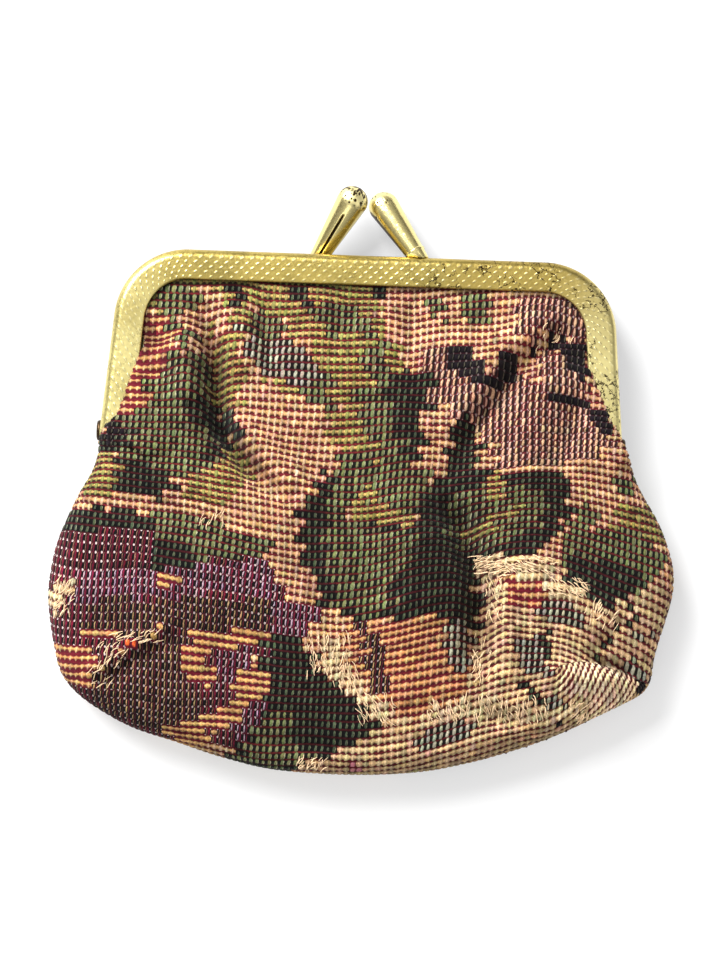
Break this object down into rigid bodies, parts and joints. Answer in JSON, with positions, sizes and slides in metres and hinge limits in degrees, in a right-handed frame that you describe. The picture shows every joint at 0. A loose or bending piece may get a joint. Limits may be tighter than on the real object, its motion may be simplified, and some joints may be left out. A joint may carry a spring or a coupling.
{
  "type": "coin purse",
  "caption": "Small tapestry coin purse with a hinged embossed brass frame, a pair of crossing snap knobs and a lined pouch.",
  "frame": {"origin": "middle of the purse's footprint, on the surface that it lies on with its back down", "axes": "+X across the purse, +Y from the pouch's bottom to the snap knobs, +Z out of the front panel"},
  "size_m": [0.1008, 0.0958, 0.0133],
  "materials": {
    "brass_frame": "embossed, lightly worn",
    "brass_knobs": "polished, lightly pitted",
    "brass_rivets": "satin",
    "paper_cord": "twisted paper",
    "tapestry": "coarse jacquard weave",
    "lining": "satin",
    "thread": "matt"
  },
  "bodies": {
    "pouch_and_back_frame": {"back_frame": "brass_frame", "right_hinge_rivet": "brass_rivets", "left_hinge_rivet": "brass_rivets", "back_knob": "brass_knobs", "back_knob_stud": "brass_rivets", "back_filler_cord": "paper_cord", "front_panel": "tapestry", "front_panel_fold": "tapestry", "front_lining": "lining", "back_panel": "tapestry", "back_lining": "lining", "seam_stitches": "thread"},
    "front_half": {"front_frame": "brass_frame", "front_knob": "brass_knobs", "front_knob_stud": "brass_rivets", "front_filler_cord": "paper_cord", "front_panel_mouth": "tapestry", "front_lining_mouth": "lining"}
  },
  "joints": [
    {"name": "frame_opening", "type": "hinge", "parent": "pouch_and_back_frame", "child": "front_half", "pos_m": [0, 0.00655, 0.005], "axis": [1, 0, 0], "range_deg": [0, 90], "deforming": ["front_panel_fold"]}
  ]
}
